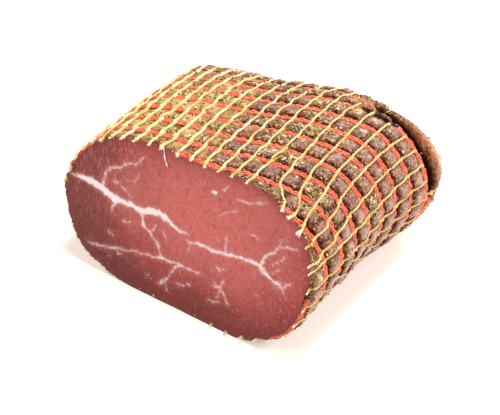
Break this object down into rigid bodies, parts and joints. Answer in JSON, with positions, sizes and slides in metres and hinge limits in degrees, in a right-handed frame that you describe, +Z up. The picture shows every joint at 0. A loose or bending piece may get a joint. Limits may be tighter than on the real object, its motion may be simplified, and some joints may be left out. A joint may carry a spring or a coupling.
{
  "type": "bresaola",
  "caption": "Half of an oval air-dried beef piece in an elastic net, with a flat marbled cut face at the front and a blunt crusted end at the back.",
  "frame": {"origin": "middle of the footprint, on the plane that the piece rests on", "axes": "+Z up, +X across the body to the right of the cut face, -Y the way the cut face looks"},
  "size_m": [0.1832, 0.1608, 0.0925],
  "materials": {
    "cured_beef": "dry crust with herb flakes, satin rosy red cut face with white marbling",
    "elastic_net": "matt cream yarns along the body, orange-red elastic rings around it"
  },
  "bodies": {
    "root": {"meat": "cured_beef", "net": "elastic_net"}
  },
  "joints": []
}
